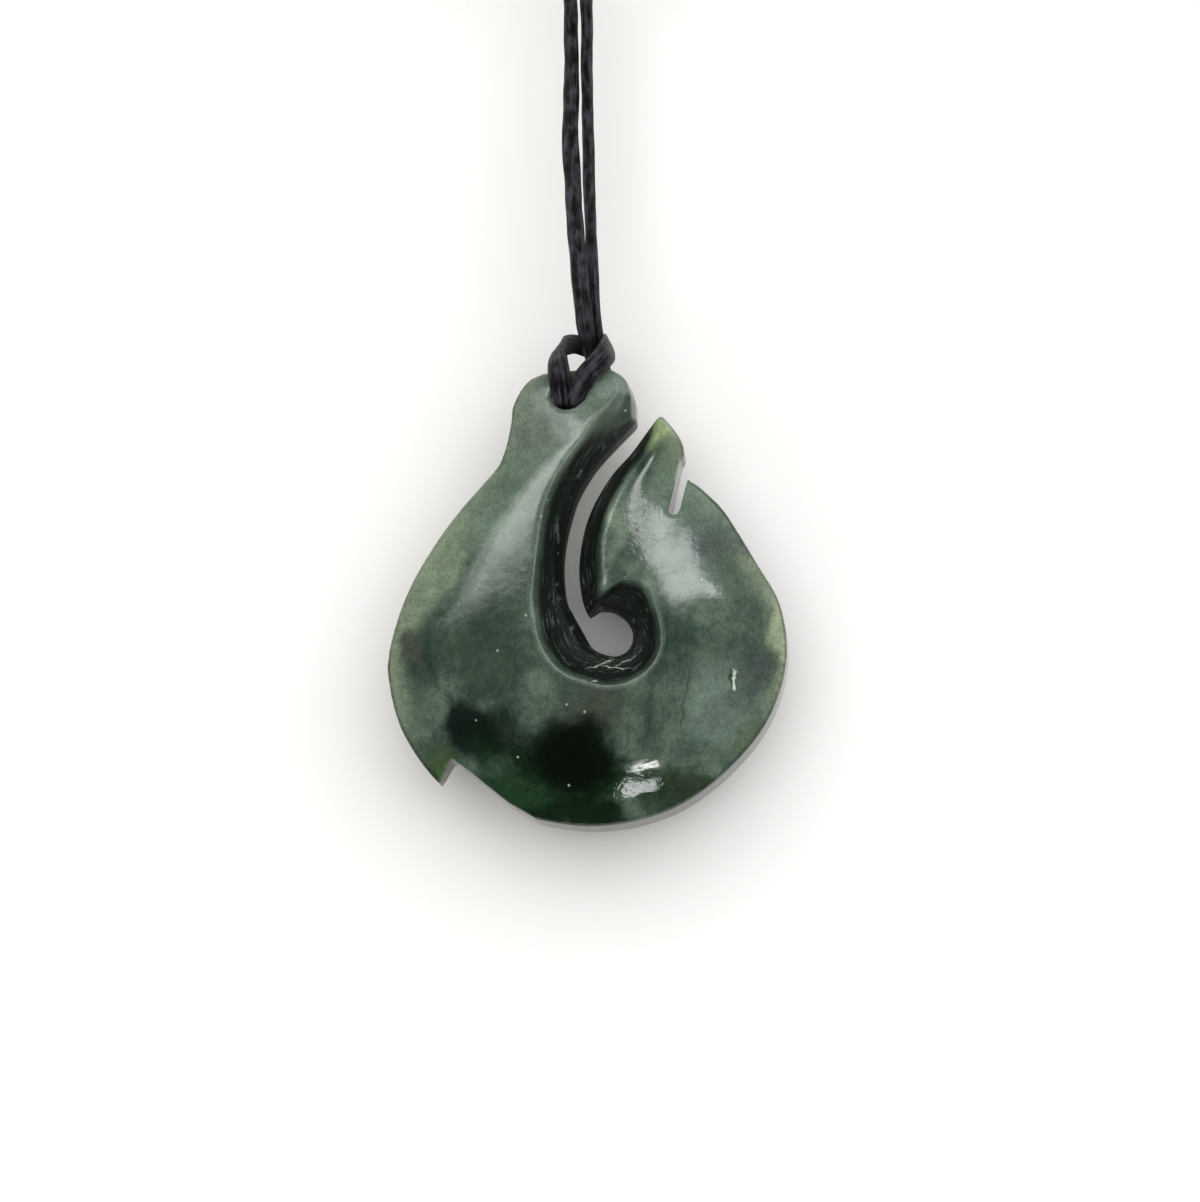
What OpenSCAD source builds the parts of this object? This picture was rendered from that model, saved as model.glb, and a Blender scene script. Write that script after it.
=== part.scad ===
// Hei matau, a carved greenstone fish hook worn on a waxed cord.
// The hook hangs in the XZ plane with its polished front facing -Y and its flat back facing +Y.
// The origin is the hang point at the nape, under the closing knot.

/* [Hook] */
// Width of the carved hook
hook_w = 40; // [34:0.5:48]
// Height of the carved hook
hook_h = 46.8; // [40:0.2:56]
// Thickness of the hook at its crest
hook_t = 7; // [6:0.25:9]
// How round the front's dome is, from a flat slope at 1 to a full swell at 3
swell = 2.2; // [1.4:0.2:3]
// How deep the cove round the slot and the eye is hollowed, in percent of its own width
cove = 16; // [8:1:24]
// Chamfer along the back edges
back_edge = 0.4; // [0.2:0.1:0.8]

/* [Cord hole] */
// Diameter of the hole drilled through the head
hole_d = 3.4; // [3.2:0.1:3.8]
// Centre of the hole from the hook's left edge, in percent of its width
hole_across = 47.8; // [46:0.2:50]
// Centre of the hole from the hook's lower edge, in percent of its height
hole_up = 94; // [93:0.2:94.4]

/* [Saw cut beside the point] */
// Width of the saw cut
kerf_w = 1.1; // [0.8:0.1:1.4]
// Depth of the saw cut below the shoulder
kerf_deep = 4.1; // [2:0.1:6]
// Lean of the saw cut towards the point, in degrees
kerf_lean = 13.5; // [8:0.5:18]

/* [Spur notch] */
// Depth of the notch behind the spur
notch_deep = 3.2; // [2:0.1:4]
// Direction of the notch's short wall, in degrees below level
notch_short = 121; // [112:1:128]
// Direction of the notch's long wall, in degrees below level
notch_long = 41; // [37:1:45]

/* [Cord] */
// Diameter of the waxed cord
cord_d = 1.3; // [1:0.1:1.4]
// Flat sides of the cord's tube
cord_sides = 8; // [6:1:10]

/* [Closing knot] */
// Turns of cord in the knot that closes the loop
knot_wraps = 6; // [3:1:8]
// Outside diameter of the knot
knot_d = 3.5; // [3:0.1:4.5]

/* [Smoothness] */
// Sections between one row of the hook's table and the next
rung_steps = 5; // [3:1:6]
// Facets of the hole, the saw cut and the knot
$fn = 48; // [32:8:96]

/* [Hidden] */

// Where the hole's centre hangs, and the plane of the flat back
hole_x = -2.2;
hole_z = -127.7;
back_y = 2.9;

// The limb's sections from the head, down the shank, round the bend and up to the point.
// Each rung runs from the outer edge to the slot or the eye.
OUT_X = 0; // outer edge across, percent of hook_w
OUT_Z = 1; // outer edge up, percent of hook_h
IN_X = 2; // inner edge across, percent of hook_w
IN_Z = 3; // inner edge up, percent of hook_h
CREST = 4; // crest along the rung, percent of the rung
RIDGE = 5; // inner ridge along the rung, percent of the rung
RIM_H = 6; // height of the outer rim, percent of hook_t
DOME_H = 7; // height the dome climbs to at the rung's inner end, percent of hook_t
RIDGE_H = 8; // height of the inner ridge, percent of hook_t
ROLL = 9; // how far the dome rolls over towards the crest, percent of hook_t
RUNGS = [
    // head
    [41.8, 99.8, 59.0, 99.5, 94, 98, 60, 72, 66, 0],
    [37.5, 98.1, 62.5, 97.2, 93, 98, 62, 78, 69, 0],
    [33.9, 93.4, 64.2, 93.6, 90, 97.5, 64, 84, 68, 0],
    [32.8, 88.5, 64.2, 90.4, 80, 97, 65, 91, 61, 0],
    [31.1, 82.5, 64.0, 88.2, 68, 96, 66, 96, 58, 0],
    [29.6, 79.6, 61.8, 86.4, 70, 95, 66, 97, 60, 0],
    // shank
    [24.8, 75.0, 54.5, 80.2, 75, 95, 66, 98, 62, 0],
    [18.5, 69.2, 50.3, 75.2, 79, 95.5, 65, 99, 64, 0],
    [12.1, 62.0, 47.6, 70.4, 82, 96, 64, 100, 66, 0],
    [4.7, 51.1, 44.6, 59.8, 86, 96.5, 62, 100, 68, 0],
    [0.6, 40.2, 44.9, 50.2, 83.5, 97, 60, 100, 68, 0],
    [0.0, 35.0, 46.6, 46.8, 81.5, 96.5, 56, 100, 68, 0],
    // spur and bend
    [3.5, 22.0, 49.2, 42.3, 79, 95.5, 44, 100, 66, 0],
    [13.6, 10.0, 51.0, 39.3, 79.5, 96, 42, 100, 66, 0],
    [33.2, 3.0, 53.8, 37.7, 79, 96.5, 60, 100, 66, 0],
    [51.7, 0.1, 56.8, 37.0, 78, 96.5, 65, 101, 66, 0],
    [70.0, 3.0, 59.4, 37.7, 77.3, 95.8, 65, 101, 66, 0],
    [84.7, 11.3, 61.0, 39.4, 76.5, 95.5, 65, 101, 64, 0],
    [95.0, 22.0, 61.4, 41.6, 77.2, 95.5, 63, 101, 62, 0],
    [99.6, 34.2, 60.6, 44.0, 78.5, 95.5, 61, 101, 58, 0],
    [98.6, 45.5, 58.6, 46.2, 77, 95.5, 60, 100, 55, 0],
    [93.2, 55.1, 55.5, 47.7, 72, 96, 58, 100, 53, 1],
    [87.6, 64.1, 51.8, 47.6, 74, 96, 57, 99.5, 52, 1.6],
    // barb and point
    [84.8, 67.9, 50.3, 46.6, 87, 96.5, 56.8, 99.9, 54, 3],
    [82.5, 70.2, 49.0, 49.8, 83, 96.5, 56.4, 98.8, 54, 3.6],
    [79.8, 72.6, 48.4, 56.8, 80, 96, 55.4, 97, 54, 4],
    [76.8, 74.8, 50.8, 67.1, 71, 96, 54, 93, 52, 4.5],
    [76.2, 78.2, 56.0, 75.4, 64, 95, 53, 86, 50, 4.5],
    [76.0, 82.3, 61.9, 81.2, 58, 93, 50, 76, 45, 3],
    [73.8, 86.2, 65.6, 85.4, 50, 90, 43, 61, 39, 2],
    [71.2, 89.4, 69.4, 89.4, 50, 90, 34, 42, 33, 0],
];
cut_over = 1; // how far each cutter stands past the face it cuts
dome_points = 6;
cove_points = 4;
wall_share = 0.6; // height of the inner wall as a share of the ridge's height

// Shoulder beside the saw cut and vertex of the spur's notch, in percent of the hook
shoulder = [75.4, 74.6];
spur_root = [15.4, 16.5];

// The cord's route from the knot, down the left strand, through the hitch and up again
ROUTE = [
    [-4.7, 0, 1.75], [-29, 0, -3], [-49, 0, -17], [-58.5, 0, -38], [-44, 0, -56],
    [-6, 0, -75.5], [-1.3, 0, -82], [-0.85, 0, -89], [-1.3, 0, -101], [-0.75, -0.9, -119.8],
    [-0.85, 0.7, -122.1], [-1.35, 3.35, -123.9], [-2.5, 4.15, -125.9], [-2.95, 3.05, -127.6],
    [-2.95, 0, -127.8], [-2.95, -2.6, -127.8], [-3.3, -3.3, -125.9], [-3.15, -1.3, -123],
    [-2.1, 1.3, -121.4], [-0.2, 2.3, -120.8], [1.5, 1.75, -120.9], [2.2, -0.3, -122.3],
    [1.4, -2.9, -124.3], [-0.15, -3.85, -126.2], [-1.4, -2.9, -127.8], [-1.45, 0.3, -127.8],
    [-1.45, 3.1, -127.6], [-0.7, 4.2, -125.8], [0.45, 3.35, -124], [0.6, 0.6, -122.1],
    [0.75, -0.6, -119.8], [0.5, 0, -101], [0.8, 0, -89], [1.3, 0, -82], [6, 0, -75.5],
    [44, 0, -56], [58.5, 0, -38], [49, 0, -17], [29, 0, -3], [4.7, 0, 1.75],
];
route_steps = 2;
seat = 0.3; // clearance between the cord's ends and the knot's faces

// A smooth curve through four rows of any width, between the second and the third
function spread(a, b) = sqrt(norm(b - a));
function mixed(a, b, ta, tb, t) = ((tb - t) * a + (t - ta) * b) / (tb - ta);
function between(r0, r1, r2, r3, s) =
    let(t1 = spread(r0, r1),
        t2 = t1 + spread(r1, r2),
        t3 = t2 + spread(r2, r3),
        t = t1 + s * (t2 - t1),
        a1 = mixed(r0, r1, 0, t1, t),
        a2 = mixed(r1, r2, t1, t2, t),
        a3 = mixed(r2, r3, t2, t3, t),
        b1 = mixed(a1, a2, 0, t2, t),
        b2 = mixed(a2, a3, t1, t3, t))
    mixed(b1, b2, t1, t2, t);
function row_at(rows, i) =
    i < 0 ? 2 * rows[0] - rows[1]
    : i >= len(rows) ? 2 * rows[len(rows) - 1] - rows[len(rows) - 2]
    : rows[i];
function smoothed(rows, steps) = [
    for (i = [0:len(rows) - 2])
        for (k = [0:steps - 1])
            between(row_at(rows, i - 1), rows[i], rows[i + 1], row_at(rows, i + 2), k / steps),
    rows[len(rows) - 1]
];

// A place on the hook, from percent of its width and height
function place(across, up) = [
    hole_x + (across - hole_across) / 100 * hook_w,
    hole_z + (up - hole_up) / 100 * hook_h
];

// Height of the dome at a share of the rung, climbing steeply from the rim and level at the far end,
// less its roll over the last half of the way to the crest
function dome(at, rim_h, dome_h, crest, roll) =
    rim_h + (dome_h - rim_h) * (1 - pow(1 - at, swell)) - roll * pow(max(0, 2 * at / crest - 1), 2);

// One section as [share along the rung, height above the back], from the outer wall round to the back
function section(row, width) =
    let(crest = row[CREST] / 100,
        ridge = row[RIDGE] / 100,
        rim_h = row[RIM_H] / 100 * hook_t,
        dome_h = row[DOME_H] / 100 * hook_t,
        ridge_h = row[RIDGE_H] / 100 * hook_t,
        roll = row[ROLL] / 100 * hook_t,
        crest_h = dome(crest, rim_h, dome_h, crest, roll),
        edge = min(back_edge, width / 6),
        dip = cove / 100 * (ridge - crest) * width)
    concat(
        [[0, back_edge]],
        [for (k = [0:dome_points]) let(at = k / dome_points * crest) [at, dome(at, rim_h, dome_h, crest, roll)]],
        [for (k = [1:cove_points]) let(u = k / cove_points)
            [crest + u * (ridge - crest), crest_h + (ridge_h - crest_h) * u - dip * 4 * u * (1 - u)]],
        [[1, wall_share * ridge_h], [1, back_edge], [1 - edge / width, 0], [edge / width, 0]]);

function section_in_place(row) =
    let(outer = place(row[OUT_X], row[OUT_Z]),
        inner = place(row[IN_X], row[IN_Z]))
    [for (p = section(row, norm(inner - outer)))
        let(at = outer + p[0] * (inner - outer)) [at[0], back_y - p[1], at[1]]];

// A closed skin over rings that each have the same number of points
module skin(rings) {
    n = len(rings[0]);
    last = (len(rings) - 1) * n;
    sides = [
        for (i = [0:len(rings) - 2])
            for (k = [0:n - 1])
                let(a = i * n + k, b = i * n + (k + 1) % n)
                    each [[a, b, b + n], [a, b + n, a + n]]
    ];
    polyhedron(
        points = [for (ring = rings) each ring],
        faces = concat([[for (k = [n - 1:-1:0]) k]], sides, [[for (k = [0:n - 1]) last + k]]),
        convexity = 10);
}

module hook_blank() {
    skin([for (row = smoothed(RUNGS, rung_steps)) section_in_place(row)]);
}

// A cutter that stands on the XZ plane and goes through the whole thickness
module through_cut() {
    translate([0, back_y + cut_over, 0]) rotate([90, 0, 0]) linear_extrude(hook_t + 3 * cut_over) children();
}

module cord_hole() {
    translate([hole_x, back_y + cut_over, hole_z]) rotate([90, 0, 0]) cylinder(d = hole_d, h = hook_t + 3 * cut_over);
}

module saw_cut() {
    at = place(shoulder[0], shoulder[1]);
    through_cut() translate(at) rotate(-kerf_lean) {
        translate([0, kerf_w / 2 - kerf_deep]) circle(d = kerf_w);
        translate([-kerf_w / 2, kerf_w / 2 - kerf_deep]) square([kerf_w, kerf_deep + 2 * kerf_w]);
    }
}

module spur_notch() {
    at = place(spur_root[0], spur_root[1]);
    wall = 3 * notch_deep;
    through_cut() translate(at) polygon([
        [0, 0],
        wall * [cos(notch_long), -sin(notch_long)],
        wall * [cos((notch_long + notch_short) / 2), -sin((notch_long + notch_short) / 2)],
        0.8 * wall * [cos(notch_short), -sin(notch_short)]
    ]);
}

module hook_pendant() {
    color("darkseagreen") difference() {
        hook_blank();
        cord_hole();
        saw_cut();
        spur_notch();
    }
}

function unit(v) = v / norm(v);
// A direction across the cord that turns with it and never twists
function carried(across, along) = unit(across - (across * along) * along);

module cord() {
    line = smoothed(ROUTE, route_steps);
    count = len(line);
    along = [for (i = [0:count - 1]) unit(line[min(i + 1, count - 1)] - line[max(i - 1, 0)])];
    across = [for (i = 0, v = carried([0, 1, 0], along[0]); i < count;
        i = i + 1, v = i < count ? carried(v, along[i]) : v) v];
    rings = [for (i = [0:count - 1])
        [for (k = [0:cord_sides - 1])
            let(a = 360 * k / cord_sides)
                line[i] + cord_d / 2 * (cos(a) * across[i] - sin(a) * cross(along[i], across[i]))]];
    color("black") skin(rings);
}

module closing_knot() {
    length = -2 * (ROUTE[0][0] + seat);
    wrap_r = (knot_d - cord_d) / 2;
    pitch = (length - cord_d) / (knot_wraps - 1);
    color("black") translate(ROUTE[0] + [seat, 0, 0]) rotate([0, 90, 0]) {
        cylinder(r = wrap_r, h = length);
        for (i = [0:knot_wraps - 1])
            translate([0, 0, cord_d / 2 + i * pitch])
                rotate_extrude() translate([wrap_r, 0]) circle(d = cord_d);
    }
}

hook_pendant();
cord();
closing_knot();
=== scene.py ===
import math

import bmesh
import bpy
from mathutils import Matrix, Quaternion, Vector, kdtree, noise


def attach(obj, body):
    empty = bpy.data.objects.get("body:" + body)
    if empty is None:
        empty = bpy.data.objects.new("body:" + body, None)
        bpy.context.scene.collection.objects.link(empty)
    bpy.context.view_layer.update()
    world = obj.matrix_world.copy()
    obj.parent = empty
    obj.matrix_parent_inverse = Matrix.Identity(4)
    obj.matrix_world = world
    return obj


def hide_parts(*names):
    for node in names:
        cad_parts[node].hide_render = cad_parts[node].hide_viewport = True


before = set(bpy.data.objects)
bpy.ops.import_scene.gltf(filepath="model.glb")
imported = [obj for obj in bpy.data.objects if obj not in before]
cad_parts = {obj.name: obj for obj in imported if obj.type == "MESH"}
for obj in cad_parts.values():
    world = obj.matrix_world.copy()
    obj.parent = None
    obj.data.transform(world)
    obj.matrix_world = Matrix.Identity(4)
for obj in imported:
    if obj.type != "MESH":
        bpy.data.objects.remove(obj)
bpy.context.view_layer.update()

# Camera
# The photo looks slightly up at the hanging hook from a little to the right,
# with a long lens and the camera turned two degrees about its own axis.
MM = 0.001
LOOK_AT = Vector((0.1, 0.0, -148.67)) * MM
CAMERA_STAND = Vector((29.72, -339.73, -78.73)) * MM
CAMERA_ROLL = math.radians(-2.0)
PHOTO_HEIGHT_PX = 1202
FOCAL_PX = 3500
camera_data = bpy.data.cameras.new("photo_camera")
camera_data.sensor_width = 36.0
camera_data.lens = camera_data.sensor_width * FOCAL_PX / PHOTO_HEIGHT_PX
camera_data.clip_start = 0.01
camera_data.clip_end = 20.0
camera = bpy.data.objects.new("photo_camera", camera_data)
bpy.context.collection.objects.link(camera)
camera.rotation_mode = "QUATERNION"
camera.location = LOOK_AT + CAMERA_STAND
camera_aim = (-CAMERA_STAND).to_track_quat("-Z", "Y")
camera.rotation_quaternion = camera_aim @ Quaternion((0, 0, 1), CAMERA_ROLL)
bpy.context.scene.camera = camera


# Greenstone hook
# One slab of nephrite, ground to a flat back and a domed front, with a cove
# hollowed round the slot and the eye. The edges are worn soft by the polishing.
# Lengths are in millimetres. SWELL is the power of the dome's curve, COVE the depth of the cove as a share
# of its width, HOLE_PERCENT the place of the hole on the hook, and WALL_SHARE the height of the slot's
# upright wall as a share of the ridge's. EDGE_PARTS keeps the back's soft edge under a sixth of a section.
HOOK_W = 40.0
HOOK_H = 46.8
HOOK_T = 7.0
SWELL = 2.2
COVE = 0.16
BACK_EDGE = 0.4
EDGE_PARTS = 6
HOLE_AT = (-2.2, -127.7)
HOLE_PERCENT = (47.8, 94.0)
HOLE_D = 3.4
BACK_Y = 2.9
WALL_SHARE = 0.6
# Sections round the shape, from the head round the lower bow to the tip of the point. Columns: outer edge
# across and up and inner edge across and up, in percent of the hook's width and height; crest and ridge, in
# percent of the section; heights of the rim, the dome and the ridge, and how far the dome rolls over
# towards the crest, in percent of the thickness.
RUNGS = [
    (41.8, 99.8, 59.0, 99.5, 94, 98, 60, 72, 66, 0),
    (37.5, 98.1, 62.5, 97.2, 93, 98, 62, 78, 69, 0),
    (33.9, 93.4, 64.2, 93.6, 90, 97.5, 64, 84, 68, 0),
    (32.8, 88.5, 64.2, 90.4, 80, 97, 65, 91, 61, 0),
    (31.1, 82.5, 64.0, 88.2, 68, 96, 66, 96, 58, 0),
    (29.6, 79.6, 61.8, 86.4, 70, 95, 66, 97, 60, 0),
    (24.8, 75.0, 54.5, 80.2, 75, 95, 66, 98, 62, 0),
    (18.5, 69.2, 50.3, 75.2, 79, 95.5, 65, 99, 64, 0),
    (12.1, 62.0, 47.6, 70.4, 82, 96, 64, 100, 66, 0),
    (4.7, 51.1, 44.6, 59.8, 86, 96.5, 62, 100, 68, 0),
    (0.6, 40.2, 44.9, 50.2, 83.5, 97, 60, 100, 68, 0),
    (0.0, 35.0, 46.6, 46.8, 81.5, 96.5, 56, 100, 68, 0),
    (3.5, 22.0, 49.2, 42.3, 79, 95.5, 44, 100, 66, 0),
    (13.6, 10.0, 51.0, 39.3, 79.5, 96, 42, 100, 66, 0),
    (33.2, 3.0, 53.8, 37.7, 79, 96.5, 60, 100, 66, 0),
    (51.7, 0.1, 56.8, 37.0, 78, 96.5, 65, 101, 66, 0),
    (70.0, 3.0, 59.4, 37.7, 77.3, 95.8, 65, 101, 66, 0),
    (84.7, 11.3, 61.0, 39.4, 76.5, 95.5, 65, 101, 64, 0),
    (95.0, 22.0, 61.4, 41.6, 77.2, 95.5, 63, 101, 62, 0),
    (99.6, 34.2, 60.6, 44.0, 78.5, 95.5, 61, 101, 58, 0),
    (98.6, 45.5, 58.6, 46.2, 77, 95.5, 60, 100, 55, 0),
    (93.2, 55.1, 55.5, 47.7, 72, 96, 58, 100, 53, 1),
    (87.6, 64.1, 51.8, 47.6, 74, 96, 57, 99.5, 52, 1.6),
    (84.8, 67.9, 50.3, 46.6, 87, 96.5, 56.8, 99.9, 54, 3),
    (82.5, 70.2, 49.0, 49.8, 83, 96.5, 56.4, 98.8, 54, 3.6),
    (79.8, 72.6, 48.4, 56.8, 80, 96, 55.4, 97, 54, 4),
    (76.8, 74.8, 50.8, 67.1, 71, 96, 54, 93, 52, 4.5),
    (76.2, 78.2, 56.0, 75.4, 64, 95, 53, 86, 50, 4.5),
    (76.0, 82.3, 61.9, 81.2, 58, 93, 50, 76, 45, 3),
    (73.8, 86.2, 65.6, 85.4, 50, 90, 43, 61, 39, 2),
    (71.2, 89.4, 69.4, 89.4, 50, 90, 34, 42, 33, 0),
]
RUNG_STEPS = 6
DOME_POINTS = 18
COVE_POINTS = 10
BACK_POINTS = 8
MERGE_DISTANCE = 1e-7


def blend_rows(rows, index, share):
    """A smooth curve through rows of numbers: the row at index plus share of the way to the next."""
    first, second = Vector(rows[index]), Vector(rows[index + 1])
    before = Vector(rows[index - 1]) if index > 0 else 2 * first - second
    after = Vector(rows[index + 2]) if index + 2 < len(rows) else 2 * second - first
    t1 = math.sqrt((first - before).length)
    t2 = t1 + math.sqrt((second - first).length)
    t3 = t2 + math.sqrt((after - second).length)
    t = t1 + share * (t2 - t1)
    a1 = before.lerp(first, t / t1)
    a2 = first.lerp(second, share)
    a3 = second.lerp(after, (t - t2) / (t3 - t2))
    b1 = a1.lerp(a2, t / t2)
    b2 = a2.lerp(a3, (t - t1) / (t3 - t1))
    return b1.lerp(b2, share)


def smooth_rows(rows, steps):
    """The rows with steps - 1 more between each pair."""
    line = [blend_rows(rows, i, k / steps) for i in range(len(rows) - 1) for k in range(steps)]
    return line + [Vector(rows[-1])]


def place(across, up):
    """A place on the hook in millimetres, from percent of its width and height."""
    return Vector((
        HOLE_AT[0] + (across - HOLE_PERCENT[0]) / 100 * HOOK_W,
        HOLE_AT[1] + (up - HOLE_PERCENT[1]) / 100 * HOOK_H,
    ))


def rung_section(row):
    """Points of one section as places in millimetres, from the outer wall over the dome to the back."""
    out_x, out_z, in_x, in_z, crest, ridge, rim_h, dome_h, ridge_h, roll = row
    outer, inner = place(out_x, out_z), place(in_x, in_z)
    width = (inner - outer).length
    crest, ridge = crest / 100, ridge / 100
    rim_h, dome_h, ridge_h, roll = (height / 100 * HOOK_T for height in (rim_h, dome_h, ridge_h, roll))

    def dome(at):
        swelled = rim_h + (dome_h - rim_h) * (1 - (1 - at) ** SWELL)
        return swelled - roll * max(0, 2 * at / crest - 1) ** 2

    edge = min(BACK_EDGE, width / EDGE_PARTS) / width
    dip = COVE * (ridge - crest) * width
    profile = [(0, BACK_EDGE)]
    for k in range(DOME_POINTS + 1):
        at = k / DOME_POINTS * crest
        profile.append((at, dome(at)))
    for k in range(1, COVE_POINTS + 1):
        u = k / COVE_POINTS
        cove_floor = dome(crest) + (ridge_h - dome(crest)) * u - dip * 4 * u * (1 - u)
        profile.append((crest + u * (ridge - crest), cove_floor))
    profile += [(1, WALL_SHARE * ridge_h), (1, BACK_EDGE)]
    profile += [(1 - edge - (1 - 2 * edge) * k / BACK_POINTS, 0) for k in range(BACK_POINTS + 1)]
    return [(outer.lerp(inner, at), BACK_Y - height) for at, height in profile]


def rolled_grid(rings):
    """A closed bmesh tube through rings of points in millimetres, with a UV of turn and length."""
    shape = bmesh.new()
    shape.loops.layers.uv.new("UVMap")
    around = len(rings[0])
    bmesh.ops.create_grid(shape, x_segments=around, y_segments=len(rings) - 1, size=1, calc_uvs=True)
    shape.verts.ensure_lookup_table()
    for i, vert in enumerate(shape.verts):
        ring, turn = divmod(i, around + 1)
        vert.co = Vector(rings[ring][turn % around]) * MM
    bmesh.ops.remove_doubles(shape, verts=shape.verts, dist=MERGE_DISTANCE)
    ends = [edge for edge in shape.edges if edge.is_boundary]
    bmesh.ops.holes_fill(shape, edges=ends)
    bmesh.ops.recalc_face_normals(shape, faces=shape.faces)
    return shape


def mesh_piece(name, shape, material):
    """An object at the origin with the bmesh's shape and one material."""
    mesh = bpy.data.meshes.new(name)
    shape.to_mesh(mesh)
    shape.free()
    mesh.materials.append(material)
    mesh.shade_smooth()
    piece = bpy.data.objects.new(name, mesh)
    bpy.context.collection.objects.link(piece)
    return piece


def linear(hex_colour):
    """An sRGB hex colour as linear red, green, blue and alpha."""
    parts = [int(hex_colour[i:i + 2], 16) / 255 for i in (0, 2, 4)]
    return tuple(c / 12.92 if c <= 0.04045 else ((c + 0.055) / 1.055) ** 2.4 for c in parts) + (1.0,)


def add_node(owner, kind, settings=None, links=None):
    """A node with its settings and links; a key that names an input, or its number, sets that input."""
    node = owner.node_tree.nodes.new(kind)
    for key, value in (settings or {}).items():
        if isinstance(key, int) or key in node.inputs:
            node.inputs[key].default_value = value
        else:
            setattr(node, key, value)
    for key, source in (links or {}).items():
        owner.node_tree.links.new(source, node.inputs[key])
    return node


def new_material(name):
    """An empty node material."""
    material = bpy.data.materials.new(name)
    material.use_nodes = True
    material.node_tree.nodes.clear()
    return material


# Nephrite jade, a dense felt of green mineral fibres, ground wet and polished by hand: deep green
# with soft dark clouds and drifting veins, painted lighter where the rim is thin enough to let light
# through, and a wax-like gloss that breaks up over the faint waves which the polishing left.
nephrite = new_material("polished_nephrite")
on_stone = add_node(nephrite, "ShaderNodeTexCoord")
in_mm = add_node(nephrite, "ShaderNodeVectorMath", {"operation": "SCALE", "Scale": 1 / MM}, {
    0: on_stone.outputs["Object"]})
# The clouds wander 2 to 3 mm off their places, so none has a plain edge.
drift = add_node(nephrite, "ShaderNodeTexNoise", {"Scale": 0.16, "Detail": 3}, {
    "Vector": in_mm.outputs[0]})
centred = add_node(nephrite, "ShaderNodeVectorMath", {"operation": "SUBTRACT", 1: (0.5, 0.5, 0.5)}, {
    0: drift.outputs["Color"]})
drifted = add_node(nephrite, "ShaderNodeVectorMath", {"operation": "MULTIPLY_ADD", 1: (7, 7, 7)}, {
    0: centred.outputs[0], 2: in_mm.outputs[0]})
clouds = add_node(nephrite, "ShaderNodeTexNoise", {"Scale": 0.13, "Detail": 7, "Roughness": 0.62}, {
    "Vector": drifted.outputs[0]})
greens = add_node(nephrite, "ShaderNodeValToRGB", links={"Fac": clouds.outputs["Fac"]})
greens.color_ramp.elements.new(0.5)
GREENS = ((0.34, "23342B"), (0.5, "3C4D43"), (0.68, "5B6D61"))
for element, (spot, colour) in zip(greens.color_ramp.elements, GREENS):
    element.position = spot
    element.color = linear(colour)
stone = greens.outputs["Color"]
# Veins run up and down the stone, 0.5 to 1 mm across and 6 to 10 mm long.
grain = add_node(nephrite, "ShaderNodeMapping", {"Rotation": (0, 0.12, 0), "Scale": (0.7, 0.7, 0.11)}, {
    "Vector": drifted.outputs[0]})
veins = add_node(nephrite, "ShaderNodeTexNoise", {"Scale": 1, "Detail": 6, "Roughness": 0.6}, {
    "Vector": grain.outputs[0]})
vein_share = add_node(nephrite, "ShaderNodeMapRange", {
    "From Min": 0.56, "From Max": 0.72, "To Min": 0, "To Max": 0.5}, {"Value": veins.outputs["Fac"]})
veined = add_node(nephrite, "ShaderNodeMix", {"data_type": "RGBA", 7: linear("1B2A22")}, {
    0: vein_share.outputs[0], 6: stone})
stone = veined.outputs[2]
# The carving's own lines: X is millimetres from the outer edge, Y millimetres past the crest and Z the
# share of the way from the head to the tip of the point.
carving = add_node(nephrite, "ShaderNodeAttribute", {"attribute_name": "carving"})
lines = add_node(nephrite, "ShaderNodeSeparateXYZ", links={"Vector": carving.outputs["Vector"]})
# The thin rim is painted paler, as light shining through it, but not on the lower bow.
thin_rim_glow = add_node(nephrite, "ShaderNodeMapRange", {
    "interpolation_type": "SMOOTHERSTEP", "From Min": 0.1, "From Max": 3.0, "To Min": 0.6, "To Max": 0},
    {"Value": lines.outputs["X"]})
height_mm = add_node(nephrite, "ShaderNodeSeparateXYZ", links={"Vector": in_mm.outputs[0]})
upper = add_node(nephrite, "ShaderNodeMapRange", {
    "interpolation_type": "SMOOTHSTEP", "From Min": -165, "From Max": -155},
    {"Value": height_mm.outputs["Z"]})
rim_glow_share = add_node(nephrite, "ShaderNodeMath", {"operation": "MULTIPLY"}, {
    0: thin_rim_glow.outputs[0], 1: upper.outputs[0]})
rim_painted_glow = add_node(nephrite, "ShaderNodeMix", {"data_type": "RGBA", 7: linear("8A9781")}, {
    0: rim_glow_share.outputs[0], 6: stone})
stone = rim_painted_glow.outputs[2]
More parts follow.
